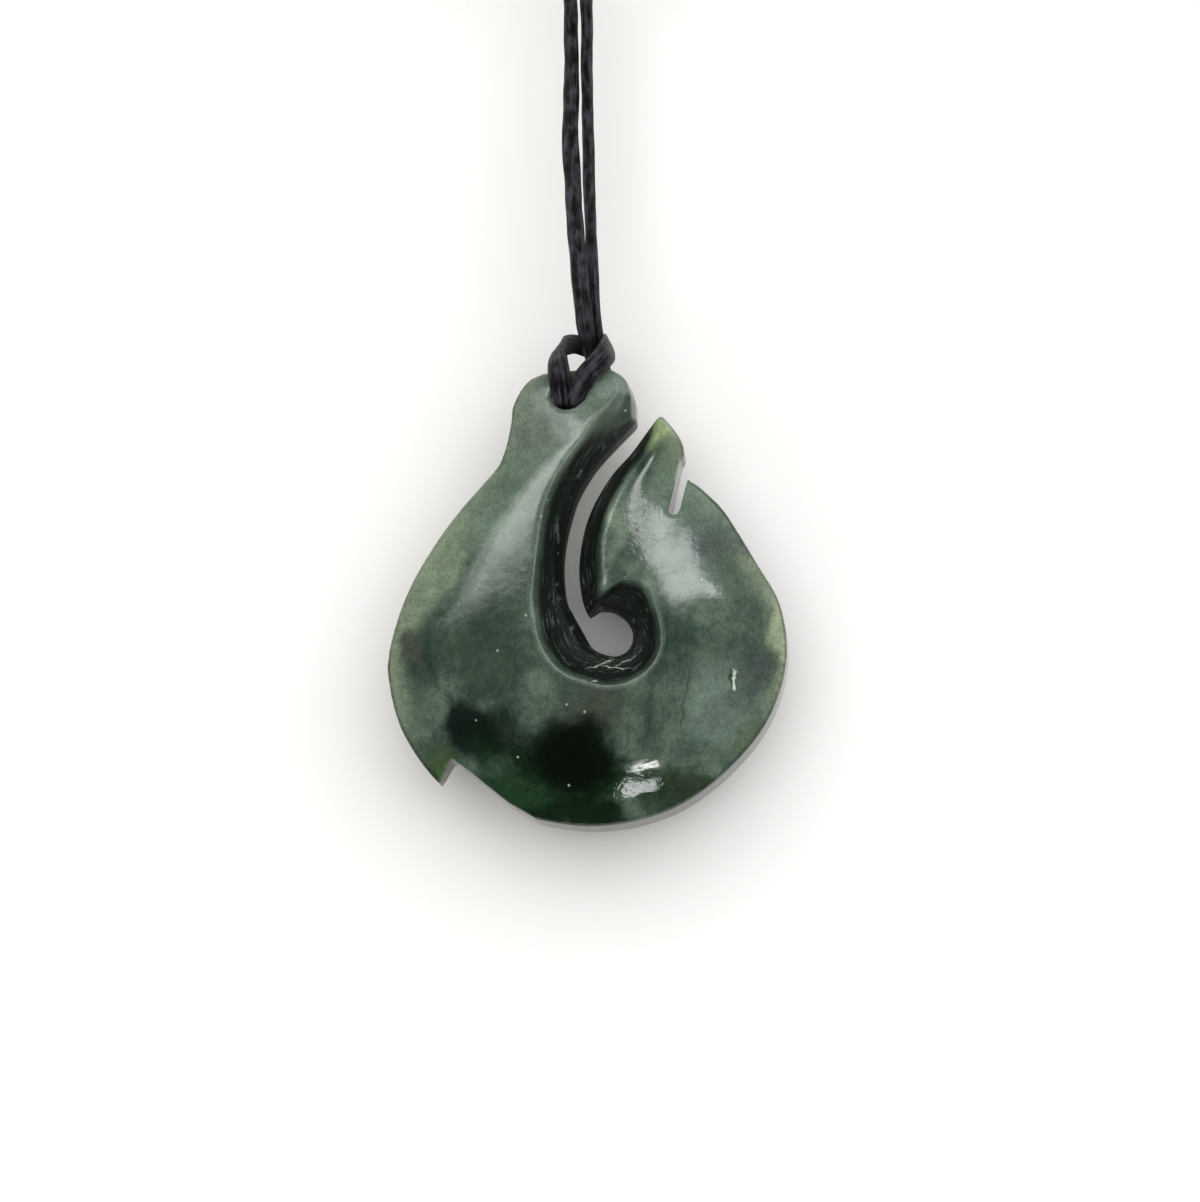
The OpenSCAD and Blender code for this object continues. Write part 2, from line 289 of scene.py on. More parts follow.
# The stone's clouds, with a few patches of painted reflection among them: colour, strength, centre across
# and up, half width and half height in millimetres, and tilt in degrees. CLOUD_DEPTH takes each one through
# the whole thickness.
CLOUD_DEPTH = 40
CLOUDS_AND_REFLECTIONS = [
    # Painted soft reflection of the room above, on the head's face.
    ("657369", 0.85, (-3.5, -130.5), (7.0, 6.5), 0),
    ("66796A", 0.70, (-9.0, -138.0), (4.0, 7.0), 35),
    # Painted soft reflection of the room above, on the shank's left slope.
    ("788974", 0.80, (-16.5, -144.5), (3.2, 9.0), 35),
    ("727F6B", 0.75, (-19.6, -149.5), (1.8, 4.0), 15),
    ("6B7E72", 0.65, (10.5, -142.5), (5.0, 7.0), 0),
    ("6B7D74", 0.60, (12.5, -160.5), (4.5, 5.0), 10),
    ("929F86", 0.75, (18.6, -155.5), (1.4, 9.0), -4),
    ("56664F", 0.65, (15.8, -165.0), (2.6, 3.0), 45),
    ("1F2D1C", 0.85, (8.0, -168.8), (7.5, 3.0), 20),
    ("2B3C31", 0.75, (-9.5, -154.5), (6.5, 4.2), 8),
    ("3F443D", 0.65, (-0.4, -160.6), (5.0, 2.8), -8),
    ("4B5753", 0.90, (12.2, -144.6), (3.0, 2.6), 0),
    ("3E4946", 0.80, (15.4, -157.2), (1.9, 4.0), 12),
    ("40453F", 0.90, (-19.1, -152.2), (1.1, 2.3), 0),
    ("0C1513", 0.95, (-13.0, -161.0), (2.5, 5.0), -18),
    ("15301B", 0.92, (-3.2, -167.4), (10.5, 5.0), 6),
    ("081A0B", 0.92, (-1.0, -170.8), (9.5, 1.9), 3),
    ("07150B", 0.80, (-6.0, -163.6), (6.5, 3.0), 20),
    ("020A04", 0.97, (-2.0, -165.4), (5.6, 4.4), 30),
    ("1E3823", 0.70, (-9.0, -168.0), (2.4, 2.2), 0),
    # Painted reflection: the soft edge of a window's glint on the point's left face.
    ("7A8D7B", 0.60, (2.2, -140.0), (1.5, 5.0), 12),
    ("7F9187", 0.60, (1.4, -127.4), (2.2, 2.2), 0),
    ("34403A", 0.60, (4.5, -159.8), (0.35, 4.5), 18),
    ("34403A", 0.60, (8.8, -159.4), (0.3, 4.6), 4),
    ("33423A", 0.50, (-13.2, -150.2), (0.5, 5.0), 43),
    ("384D2C", 0.75, (-16.6, -165.2), (1.8, 2.6), 20),
    ("95A976", 0.65, (6.2, -130.8), (1.4, 1.7), 0),
    ("66796A", 0.60, (7.6, -136.6), (1.8, 4.0), 15),
    ("263A2D", 0.80, (5.4, -134.6), (1.0, 1.9), 10),
]
for colour, strength, (x, z), (half_w, half_h), tilt in CLOUDS_AND_REFLECTIONS:
    spot = add_node(nephrite, "ShaderNodeMapping", {
        "vector_type": "TEXTURE", "Location": (x, 0, z), "Rotation": (0, math.radians(tilt), 0),
        "Scale": (half_w, CLOUD_DEPTH, half_h)}, {"Vector": drifted.outputs[0]})
    away = add_node(nephrite, "ShaderNodeVectorMath", {"operation": "LENGTH"}, {0: spot.outputs[0]})
    frayed = add_node(nephrite, "ShaderNodeMath", {"operation": "MULTIPLY_ADD", 1: 1.4}, {
        0: clouds.outputs["Fac"], 2: away.outputs["Value"]})
    share = add_node(nephrite, "ShaderNodeMapRange", {
        "interpolation_type": "SMOOTHERSTEP",
        "From Min": 1.1, "From Max": 2.0, "To Min": strength, "To Max": 0},
        {"Value": frayed.outputs[0]})
    cloud_or_reflection = add_node(nephrite, "ShaderNodeMix", {"data_type": "RGBA", 7: linear(colour)}, {
        0: share.outputs[0], 6: stone})
    stone = cloud_or_reflection.outputs[2]
# Fibre bundles show as a fine mottling, 0.3 to 1.5 mm across, a little lighter and darker than the cloud
# they lie in.
bundles = add_node(nephrite, "ShaderNodeTexNoise", {"Scale": 0.75, "Detail": 7, "Roughness": 0.78}, {
    "Vector": in_mm.outputs[0]})
mottle = add_node(nephrite, "ShaderNodeMapRange", {
    "From Min": 0.3, "From Max": 0.7, "To Min": 0.7, "To Max": 1.3}, {"Value": bundles.outputs["Fac"]})
mottled = add_node(nephrite, "ShaderNodeVectorMath", {"operation": "SCALE"}, {
    0: stone, "Scale": mottle.outputs[0]})
grit = add_node(nephrite, "ShaderNodeTexNoise", {"Scale": 3.6, "Detail": 3, "Roughness": 0.6}, {
    "Vector": in_mm.outputs[0]})
grit_share = add_node(nephrite, "ShaderNodeMapRange", {
    "From Min": 0.3, "From Max": 0.7, "To Min": 0.8, "To Max": 1.2}, {"Value": grit.outputs["Fac"]})
gritty = add_node(nephrite, "ShaderNodeVectorMath", {"operation": "SCALE"}, {
    0: mottled.outputs[0], "Scale": grit_share.outputs[0]})
stone = gritty.outputs[0]
# Right at the outer edge the stone turns away from the light, so a thin dark line of painted shade runs
# along it.
edge_shade_share = add_node(nephrite, "ShaderNodeMapRange", {
    "interpolation_type": "SMOOTHSTEP", "From Min": 0.05, "From Max": 0.4, "To Min": 0.6, "To Max": 0},
    {"Value": lines.outputs["X"]})
edge_shaded = add_node(nephrite, "ShaderNodeMix", {"data_type": "RGBA", 7: linear("1C261E")}, {
    0: edge_shade_share.outputs[0], 6: stone})
stone = edge_shaded.outputs[2]
# The cove starts below the head and never got the last polish; its hollow is painted dark as shade.
past_head = add_node(nephrite, "ShaderNodeMapRange", {
    "interpolation_type": "SMOOTHSTEP", "From Min": 0.08, "From Max": 0.2},
    {"Value": lines.outputs["Z"]})
cove_depth = add_node(nephrite, "ShaderNodeMapRange", {
    "interpolation_type": "SMOOTHERSTEP",
    "From Min": 0.1, "From Max": 0.9, "To Min": 0, "To Max": 0.96},
    {"Value": lines.outputs["Y"]})
cove_share = add_node(nephrite, "ShaderNodeMath", {"operation": "MULTIPLY"}, {
    0: cove_depth.outputs[0], 1: past_head.outputs[0]})
cove_painted_shade = add_node(nephrite, "ShaderNodeMix", {"data_type": "RGBA", 7: linear("07100C")}, {
    0: cove_share.outputs[0], 6: stone})
stone = cove_painted_shade.outputs[2]
# Tool lines run along the cove, 0.2 mm apart.
along_cove = add_node(nephrite, "ShaderNodeCombineXYZ", links={
    "X": lines.outputs["Y"], "Y": lines.outputs["Z"]})
tool_lines = add_node(nephrite, "ShaderNodeMapping", {"Scale": (4.5, 34, 1)}, {
    "Vector": along_cove.outputs[0]})
tooling = add_node(nephrite, "ShaderNodeTexNoise", {"Scale": 1, "Detail": 4, "Roughness": 0.65}, {
    "Vector": tool_lines.outputs[0]})
tool_share = add_node(nephrite, "ShaderNodeMapRange", {
    "From Min": 0.57, "From Max": 0.68, "To Min": 0, "To Max": 0.6}, {"Value": tooling.outputs["Fac"]})
in_cove = add_node(nephrite, "ShaderNodeMath", {"operation": "MULTIPLY"}, {
    0: tool_share.outputs[0], 1: cove_share.outputs[0]})
tooled = add_node(nephrite, "ShaderNodeMix", {"data_type": "RGBA", 7: linear("6A7B70")}, {
    0: in_cove.outputs[0], 6: stone})
stone = tooled.outputs[2]
# Along the crest a narrow line is painted lighter than the faces on both sides, as the highlight that the
# rounded crest catches; it fades out at the point.
from_crest = add_node(nephrite, "ShaderNodeMath", {"operation": "ABSOLUTE"}, {0: lines.outputs["Y"]})
crest_highlight = add_node(nephrite, "ShaderNodeMapRange", {
    "interpolation_type": "SMOOTHSTEP",
    "From Min": 0.03, "From Max": 0.15, "To Min": 0.32, "To Max": 0},
    {"Value": from_crest.outputs[0]})
before_point = add_node(nephrite, "ShaderNodeMapRange", {
    "interpolation_type": "SMOOTHSTEP", "From Min": 0.60, "From Max": 0.72, "To Min": 1, "To Max": 0},
    {"Value": lines.outputs["Z"]})
crest_run = add_node(nephrite, "ShaderNodeMath", {"operation": "MULTIPLY"}, {
    0: past_head.outputs[0], 1: before_point.outputs[0]})
crest_highlight_share = add_node(nephrite, "ShaderNodeMath", {"operation": "MULTIPLY"}, {
    0: crest_highlight.outputs[0], 1: crest_run.outputs[0]})
crest_painted_highlight = add_node(nephrite, "ShaderNodeMix", {"data_type": "RGBA", 7: linear("93A194")}, {
    0: crest_highlight_share.outputs[0], 6: stone})
stone = crest_painted_highlight.outputs[2]
# Pale flecks about 0.15 mm across, some 4 mm apart.
flecks = add_node(nephrite, "ShaderNodeTexVoronoi", {"Scale": 0.3}, {"Vector": in_mm.outputs[0]})
fleck_share = add_node(nephrite, "ShaderNodeMapRange", {
    "From Min": 0.02, "From Max": 0.05, "To Min": 0.6, "To Max": 0},
    {"Value": flecks.outputs["Distance"]})
flecked = add_node(nephrite, "ShaderNodeMix", {"data_type": "RGBA", 7: linear("B9C4B6")}, {
    0: fleck_share.outputs[0], 6: stone})
stone = flecked.outputs[2]
# The outlines of the marks waver by a few tenths of a millimetre.
waver = add_node(nephrite, "ShaderNodeTexNoise", {"Scale": 1.3, "Detail": 2}, {
    "Vector": in_mm.outputs[0]})
wavered = add_node(nephrite, "ShaderNodeVectorMath", {"operation": "SUBTRACT", 1: (0.5, 0.5, 0.5)}, {
    0: waver.outputs["Color"]})
ragged = add_node(nephrite, "ShaderNodeVectorMath", {"operation": "MULTIPLY_ADD", 1: (0.9, 0.9, 0.9)}, {
    0: wavered.outputs[0], 2: in_mm.outputs[0]})
# Marks in the polish of the front: a chip on the right and the graver's scratches below the eye. Each has
# its colour, the place of its middle across and up, its half length and half width in millimetres, and its
# tilt from upright in degrees. MARK_Y and MARK_DEPTH keep it off the back.
MARK_Y = -4
MARK_DEPTH = 6
MARKS = [
    ("BFCBC0", (13.3, -157.9), 1.1, 0.13, 4),
    ("BFCBC0", (13.2, -158.7), 0.5, 0.26, -6),
    ("1C2622", (13.0, -157.9), 1.3, 0.12, 4),
    ("9CA69B", (0.2, -155.5), 1.7, 0.09, 74),
    ("9CA69B", (1.6, -156.0), 2.0, 0.08, 100),
    ("8A958A", (2.6, -155.4), 1.4, 0.08, 62),
    ("B3BCB0", (-0.4, -157.6), 0.3, 0.16, 80),
]
for colour, (x, z), half_long, half_wide, tilt in MARKS:
    spot = add_node(nephrite, "ShaderNodeMapping", {
        "vector_type": "TEXTURE", "Location": (x, MARK_Y, z), "Rotation": (0, math.radians(tilt), 0),
        "Scale": (half_wide, MARK_DEPTH, half_long)}, {"Vector": ragged.outputs[0]})
    away = add_node(nephrite, "ShaderNodeVectorMath", {"operation": "LENGTH"}, {0: spot.outputs[0]})
    share = add_node(nephrite, "ShaderNodeMapRange", {
        "interpolation_type": "SMOOTHSTEP",
        "From Min": 0.6, "From Max": 1.1, "To Min": 0.85, "To Max": 0},
        {"Value": away.outputs["Value"]})
    mark = add_node(nephrite, "ShaderNodeMix", {"data_type": "RGBA", 7: linear(colour)}, {
        0: share.outputs[0], 6: stone})
    stone = mark.outputs[2]
# Hand polishing leaves waves 2 to 4 mm long and a few hundredths of a millimetre high.
waves = add_node(nephrite, "ShaderNodeTexNoise", {"Scale": 0.42, "Detail": 4, "Roughness": 0.55}, {
    "Vector": in_mm.outputs[0]})
wavy = add_node(nephrite, "ShaderNodeBump", {"Strength": 0.14, "Distance": 0.0002}, {
    "Height": waves.outputs["Fac"]})
# Shallow dents 0.5 to 1 mm across were left on the point's face.
on_point = add_node(nephrite, "ShaderNodeMapping", {
    "vector_type": "TEXTURE", "Location": (3.2, 0, -141.5), "Rotation": (0, math.radians(-12), 0),
    "Scale": (4.2, CLOUD_DEPTH, 6.5)}, {"Vector": in_mm.outputs[0]})
off_point = add_node(nephrite, "ShaderNodeVectorMath", {"operation": "LENGTH"}, {
    0: on_point.outputs[0]})
dented = add_node(nephrite, "ShaderNodeMapRange", {
    "interpolation_type": "SMOOTHSTEP", "From Min": 0.5, "From Max": 1.1, "To Min": 1, "To Max": 0},
    {"Value": off_point.outputs["Value"]})
dents = add_node(nephrite, "ShaderNodeTexNoise", {"Scale": 1.5, "Detail": 4, "Roughness": 0.6}, {
    "Vector": in_mm.outputs[0]})
dent_height = add_node(nephrite, "ShaderNodeMath", {"operation": "MULTIPLY"}, {
    0: dents.outputs["Fac"], 1: dented.outputs[0]})
pitted = add_node(nephrite, "ShaderNodeBump", {"Strength": 0.35, "Distance": 0.00006}, {
    "Height": dent_height.outputs[0], "Normal": wavy.outputs[0]})
# Hairline scratches of the last polish run up to the right, 0.1 mm apart and about 0.001 mm deep.
hair_map = add_node(nephrite, "ShaderNodeMapping", {"Rotation": (0, 0.55, 0), "Scale": (0.7, 1, 9)}, {
    "Vector": in_mm.outputs[0]})
hairs = add_node(nephrite, "ShaderNodeTexNoise", {"Scale": 1, "Detail": 3, "Roughness": 0.7}, {
    "Vector": hair_map.outputs[0]})
haired = add_node(nephrite, "ShaderNodeBump", {"Strength": 0.1, "Distance": 0.000012}, {
    "Height": hairs.outputs["Fac"], "Normal": pitted.outputs[0]})
# The tool lines of the cove are cuts just under a tenth of a millimetre deep.
cut_height = add_node(nephrite, "ShaderNodeMath", {"operation": "MULTIPLY"}, {
    0: tooling.outputs["Fac"], 1: cove_share.outputs[0]})
cut_lines = add_node(nephrite, "ShaderNodeBump", {"Strength": 0.6, "Distance": 0.00012}, {
    "Height": cut_height.outputs[0], "Normal": haired.outputs[0]})
# The gloss follows the waves, and it is sharpest on the lower bow, which got the finest polish.
last_polish = add_node(nephrite, "ShaderNodeMapRange", {"To Min": 0.3, "To Max": 1}, {
    "Value": upper.outputs[0]})
wave_gloss = add_node(nephrite, "ShaderNodeMapRange", {
    "From Min": 0.3, "From Max": 0.7, "To Min": 0.08, "To Max": 0.14}, {"Value": waves.outputs["Fac"]})
gloss = add_node(nephrite, "ShaderNodeMath", {"operation": "MULTIPLY"}, {
    0: wave_gloss.outputs[0], 1: last_polish.outputs[0]})
dull_cove = add_node(nephrite, "ShaderNodeMath", {"operation": "MULTIPLY_ADD", 1: 0.5}, {
    0: cove_share.outputs[0], 2: gloss.outputs[0]})
# The crest is worn matt, so no window runs along it.
on_crest = add_node(nephrite, "ShaderNodeMapRange", {
    "interpolation_type": "SMOOTHSTEP", "From Min": 0.2, "From Max": 0.7, "To Min": 0.35, "To Max": 0},
    {"Value": from_crest.outputs[0]})
dull_crest = add_node(nephrite, "ShaderNodeMath", {"operation": "ADD"}, {
    0: dull_cove.outputs[0], 1: on_crest.outputs[0]})
# Light goes up to a millimetre into the stone, the green furthest.
shader = add_node(nephrite, "ShaderNodeBsdfPrincipled", {
    "IOR": 1.62, "Subsurface Weight": 0.12, "Subsurface Radius": (0.5, 1.0, 0.6),
    "Subsurface Scale": 0.001},
    {"Base Color": stone, "Roughness": dull_crest.outputs[0], "Normal": cut_lines.outputs[0]})
add_node(nephrite, "ShaderNodeOutputMaterial", links={"Surface": shader.outputs["BSDF"]})

fine_rungs = smooth_rows(RUNGS, RUNG_STEPS)
slab = rolled_grid([[(at[0], y, at[1]) for at, y in rung_section(row)] for row in fine_rungs])
hook = mesh_piece("greenstone_hook", slab, nephrite)
CLEAR = 1


def cutter(name, outline):
    """A prism, clear of both faces, from an outline in millimetres on the XZ plane."""
    shape = bmesh.new()
    corners = [shape.verts.new(Vector((x, BACK_Y + CLEAR, z)) * MM) for x, z in outline]
    face = shape.faces.new(corners)
    pulled = bmesh.ops.extrude_face_region(shape, geom=[face])["geom"]
    moved = [item for item in pulled if isinstance(item, bmesh.types.BMVert)]
    bmesh.ops.translate(shape, verts=moved, vec=Vector((0, -(HOOK_T + 3 * CLEAR), 0)) * MM)
    bmesh.ops.recalc_face_normals(shape, faces=shape.faces)
    mesh = bpy.data.meshes.new(name)
    shape.to_mesh(mesh)
    shape.free()
    piece = bpy.data.objects.new(name, mesh)
    bpy.context.collection.objects.link(piece)
    return piece


def arc(centre, radius, start, end, steps):
    """Points on an arc in millimetres, with its angles in degrees."""
    turns = [math.radians(start + (end - start) * k / steps) for k in range(steps + 1)]
    return [(centre[0] + radius * math.cos(a), centre[1] + radius * math.sin(a)) for a in turns]


# The saw cut runs down from the shoulder, KERF_LEAN degrees off upright. The notch opens downwards from the
# root of the spur, between a short and a long side given in degrees below level. The long side is straight
# for NOTCH_STRAIGHT and eased over its last 2 mm, into the lower edge.
SHOULDER = place(75.4, 74.6)
KERF_W = 1.1
KERF_DEEP = 4.1
KERF_LEAN = 13.5
SPUR_ROOT = place(15.4, 16.5)
NOTCH_DEEP = 3.2
NOTCH_SHORT = 121
NOTCH_LONG = 41
NOTCH_STRAIGHT = 7.5
NOTCH_EASED = 4.0
NOTCH_EASE = 1.25
NOTCH_REACH = 3 * NOTCH_DEEP
lean = Matrix.Rotation(math.radians(-KERF_LEAN), 2)
kerf = arc((0, KERF_W / 2 - KERF_DEEP), KERF_W / 2, start=180, end=360, steps=16)
kerf += [(KERF_W / 2, 2 * KERF_W), (-KERF_W / 2, 2 * KERF_W)]
kerf = [SHOULDER + lean @ Vector(point) for point in kerf]
long_side = math.radians(-NOTCH_LONG)
eased = long_side / NOTCH_EASE
bend_at = SPUR_ROOT + NOTCH_STRAIGHT * Vector((math.cos(long_side), math.sin(long_side)))
bend_end = bend_at + NOTCH_EASED * Vector((math.cos(eased), math.sin(eased)))
notch = [SPUR_ROOT, bend_at, bend_end]
for angle, share in (((NOTCH_LONG + NOTCH_SHORT) / 2, 1), (NOTCH_SHORT, 0.8)):
    turn = math.radians(-angle)
    notch.append(SPUR_ROOT + NOTCH_REACH * share * Vector((math.cos(turn), math.sin(turn))))
cutters = [
    cutter("hole_cutter", arc(HOLE_AT, HOLE_D / 2, start=0, end=345, steps=47)),
    cutter("kerf_cutter", kerf),
    cutter("notch_cutter", notch),
]
for tool in cutters:
    cut = hook.modifiers.new(tool.name, "BOOLEAN")
    cut.object = tool
    cut.operation = "DIFFERENCE"
    cut.solver = "EXACT"
# A mesh of 0.2 mm with three light smoothings rounds every edge a little, as polishing by hand does.
VOXEL = 0.215 * MM
soften = hook.modifiers.new("polish", "REMESH")
soften.mode = "VOXEL"
soften.voxel_size = VOXEL
relax = hook.modifiers.new("relax", "SMOOTH")
relax.factor = 0.5
relax.iterations = 3
depsgraph = bpy.context.evaluated_depsgraph_get()
polished = bpy.data.meshes.new_from_object(hook.evaluated_get(depsgraph), depsgraph=depsgraph)
hook.modifiers.clear()
hook.data = polished
polished.materials.clear()
polished.materials.append(nephrite)
polished.shade_smooth()
for tool in cutters:
    bpy.data.objects.remove(tool)

# Every point of the polished stone learns where it lies on the carving from its NEIGHBOURS nearest points
# of the table, weighed by how near they are. WALL_MARKS parts each wall, where the table has only its
# edges, and the back counts as NO_CREST millimetres past the crest.
WALL_MARKS = 6
NEIGHBOURS = 4
NEAREST = 0.05
NO_CREST = -5.0
marks = []
for number, row in enumerate(fine_rungs):
    outer, inner = place(row[0], row[1]), place(row[2], row[3])
    width = (inner - outer).length
    section = rung_section(row)
    for wall, share in ((outer, row[6] / 100), (inner, WALL_SHARE * row[8] / 100)):
        for k in range(1, WALL_MARKS):
            section.append((wall, BACK_Y - BACK_EDGE - (share * HOOK_T - BACK_EDGE) * k / WALL_MARKS))
    for spot, y in section:
        from_edge = (spot - outer).length
        past_crest = from_edge - row[4] / 100 * width if y < BACK_Y - BACK_EDGE / 2 else NO_CREST
        marks.append(((spot[0], y, spot[1]), (from_edge, past_crest, number / len(fine_rungs))))
guide = kdtree.KDTree(len(marks))
for number, mark in enumerate(marks):
    guide.insert(mark[0], number)
guide.balance()
carved = []
for vert in polished.vertices:
    found = guide.find_n(vert.co / MM, NEIGHBOURS)
    weights = [1 / (distance + NEAREST) for spot, number, distance in found]
    total = sum(weights)
    for axis in range(3):
        carved.append(sum(share * marks[hit[1]][1][axis] for share, hit in zip(weights, found)) / total)
polished.attributes.new("carving", "FLOAT_VECTOR", "POINT").data.foreach_set("vector", carved)

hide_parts("hook_pendant")
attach(hook, "root")


# Waxed cord
# One length of flat braided polyester cord, waxed black, tied to the hook's head with
# a lark's head: both strands pass through the ring, behind the head and out of the hole.
CORD_W = 1.4
CORD_T = 1.0
ROUTE = [
    (-4.7, 0, 1.75), (-29, 0, -3), (-49, 0, -17), (-58.5, 0, -38), (-44, 0, -56),
    (-6, 0, -75.5), (-1.3, 0, -82), (-0.85, 0, -89), (-1.3, 0, -101), (-0.75, -0.9, -119.8),
    (-0.85, 0.7, -122.1), (-1.35, 3.35, -123.9), (-2.5, 4.15, -125.9), (-2.95, 3.05, -127.6),
    (-2.95, 0, -127.8), (-2.95, -2.6, -127.8), (-3.3, -3.3, -125.9), (-3.15, -1.3, -123),
    (-2.1, 1.3, -121.4), (-0.2, 2.3, -120.8), (1.5, 1.75, -120.9), (2.2, -0.3, -122.3),
    (1.4, -2.9, -124.3), (-0.15, -3.85, -126.2), (-1.4, -2.9, -127.8), (-1.45, 0.3, -127.8),
    (-1.45, 3.1, -127.6), (-0.7, 4.2, -125.8), (0.45, 3.35, -124), (0.6, 0.6, -122.1),
    (0.75, -0.6, -119.8), (0.5, 0, -101), (0.8, 0, -89), (1.3, 0, -82), (6, 0, -75.5),
    (44, 0, -56), (58.5, 0, -38), (49, 0, -17), (29, 0, -3), (4.7, 0, 1.75),
]
# Where the braid isn't at its own width: number of the point on the route, width, thickness,
# the way its flat faces, and how far the pressed braid lies off the route.
PRESSED = {
    7: (1.45, 1.0, (0, 1, 0), (0, 0, 0)),
    8: (1.7, 1.0, (0, 1, 0), (0.05, -0.3, 0)),
    9: (1.75, 1.0, (0, 1, 0), (0.4, -0.4, 0)),
    10: (1.4, 1.0, (0, 0.9, 0.4), (0.75, -0.3, 0)),
    11: (1.2, 1.0, (0, 0.7, 0.7), (1.35, -0.4, -0.4)),
    12: (1.2, 1.0, (0, 1, 0), (1.2, 0.1, -0.2)),
    13: (1.5, 1.4, (0, 0.7, -0.7), (0.05, 0.2, -0.3)),
    14: (1.5, 1.9, (0, 0, -1), (0.05, 0, -0.35)),
    15: (2.0, 1.2, (0, -0.7, -0.7), (0.2, -0.1, -0.45)),
    16: (2.4, 0.9, (0, -1, 0), (0.35, 0, 0)),
    17: (2.0, 0.8, (-0.5, -0.8, 0.2), (0.05, 0, 0.2)),
    18: (2.0, 0.7, (-0.6, 0.6, 0), (0, 0, 0.1)),
    19: (2.3, 0.7, (0, 1, 0), (0, 0.5, -0.5)),
    20: (2.1, 0.7, (0.6, 0.8, 0), (-0.4, 0.3, -0.4)),
    21: (1.9, 0.9, (0.9, -0.2, 0.4), (-0.4, 0.1, 0.1)),
    22: (2.4, 0.9, (0.1, -1, 0.3), (0.05, 0, 0.1)),
    23: (2.3, 0.9, (0, -1, 0), (0, 0, 0)),
    24: (1.8, 1.2, (0, -0.7, -0.7), (0, -0.1, -0.45)),
    25: (1.5, 1.9, (0, 0, -1), (0, 0, -0.35)),
    26: (1.5, 1.4, (0, 0.7, -0.7), (0, 0.2, -0.3)),
    27: (1.2, 1.0, (0, 1, 0), (0.8, 0.3, -0.4)),
    28: (1.2, 1.0, (0, 0.7, 0.7), (0.65, 0.1, -0.3)),
    29: (1.2, 1.0, (0, 0.9, 0.4), (0.35, 0.3, 0)),
    30: (1.2, 1.0, (0, 1, 0), (-0.05, 0.4, 0)),
    31: (1.25, 1.0, (0, 1, 0), (0, 0.3, 0)),
    32: (1.2, 1.0, (0, 1, 0), (0, 0, 0)),
}
# BRAID_RELIEF is the height of the bundles of strands as a share of the braid's half width. BUNDLES_ROUND
# and BUNDLES_ALONG set how fine they are round it and along it.
CORD_SIDES = 24
CORD_STEP = 0.4
ROUTE_STEPS = 40
BRAID_RELIEF = 0.16
BUNDLES_ROUND = 2.4
BUNDLES_ALONG = 0.35

# Black polyester fibre in a flat braid, soaked in wax: almost black, with fine strands laid lengthwise
# and slightly crossed, whose tops are painted with a dull blue-grey sheen.
waxed_cord = new_material("waxed_braid")
laid = add_node(waxed_cord, "ShaderNodeUVMap", {"uv_map": "UVMap"})
# Strands 0.2 mm across and about 4 mm long between their crossings.
fibre_map = add_node(waxed_cord, "ShaderNodeMapping", {
    "Scale": (21, 90, 1), "Rotation": (0, 0, 0.03)}, {"Vector": laid.outputs["UV"]})
fibres = add_node(waxed_cord, "ShaderNodeTexNoise", {
    "Scale": 1, "Detail": 5, "Roughness": 0.68, "Distortion": 0.5}, {"Vector": fibre_map.outputs[0]})
# They gather in bundles 0.6 mm across and 1.7 mm long.
plait_map = add_node(waxed_cord, "ShaderNodeMapping", {"Scale": (7, 260, 1)}, {
    "Vector": laid.outputs["UV"]})
plaits = add_node(waxed_cord, "ShaderNodeTexNoise", {"Scale": 1, "Detail": 2}, {
    "Vector": plait_map.outputs[0]})
height = add_node(waxed_cord, "ShaderNodeMath", {"operation": "ADD"}, {
    0: fibres.outputs["Fac"], 1: plaits.outputs["Fac"]})
# The tops of the strands are painted blue-grey, as the sheen they catch.
sheen_tops = add_node(waxed_cord, "ShaderNodeMapRange", {"From Min": 0.9, "From Max": 1.28}, {
    "Value": height.outputs[0]})
black_and_sheen = add_node(waxed_cord, "ShaderNodeMix", {
    "data_type": "RGBA", 6: linear("030304"), 7: linear("434650")}, {0: sheen_tops.outputs[0]})
# Inside the hitch the braid is pressed together, and its shade there is painted black.
on_cord = add_node(waxed_cord, "ShaderNodeTexCoord")
hitch_shade_map = add_node(waxed_cord, "ShaderNodeMapping", {
    "vector_type": "TEXTURE", "Location": (-0.0003, 0.0022, -0.1226),
    "Scale": (0.0025, 0.0034, 0.0029)}, {"Vector": on_cord.outputs["Object"]})
off_hitch_shade = add_node(waxed_cord, "ShaderNodeVectorMath", {"operation": "LENGTH"}, {
    0: hitch_shade_map.outputs[0]})
hitch_shade_share = add_node(waxed_cord, "ShaderNodeMapRange", {
    "interpolation_type": "SMOOTHSTEP", "From Min": 0.75, "From Max": 1.05, "To Min": 1, "To Max": 0},
    {"Value": off_hitch_shade.outputs["Value"]})
black = add_node(waxed_cord, "ShaderNodeMix", {"data_type": "RGBA", 7: linear("030304")}, {
    0: hitch_shade_share.outputs[0], 6: black_and_sheen.outputs[2]})
raised = add_node(waxed_cord, "ShaderNodeBump", {"Strength": 1.0, "Distance": 0.0003}, {
    "Height": height.outputs[0]})
shader = add_node(waxed_cord, "ShaderNodeBsdfPrincipled", {
    "Roughness": 0.45, "IOR": 1.45}, {"Base Color": black.outputs[2], "Normal": raised.outputs[0]})
add_node(waxed_cord, "ShaderNodeOutputMaterial", links={"Surface": shader.outputs["BSDF"]})

lay = []
stations = []
for number, point in enumerate(ROUTE):
    wide, thick, facing, off = PRESSED.get(number, (CORD_W, CORD_T, (0, 1, 0), (0, 0, 0)))
    lay.append(Vector(point) + Vector(off))
    stations.append((wide, thick, *facing))


def route_station(along):
    """Point, width, thickness and facing of the braid at a place counted in points of the route."""
    index = min(int(along), len(ROUTE) - 2)
    share = along - index
    row = Vector(stations[index]).lerp(Vector(stations[index + 1]), share)
    point = blend_rows(lay, index, share)
    return point, row[0], row[1], Vector(row[2:5])


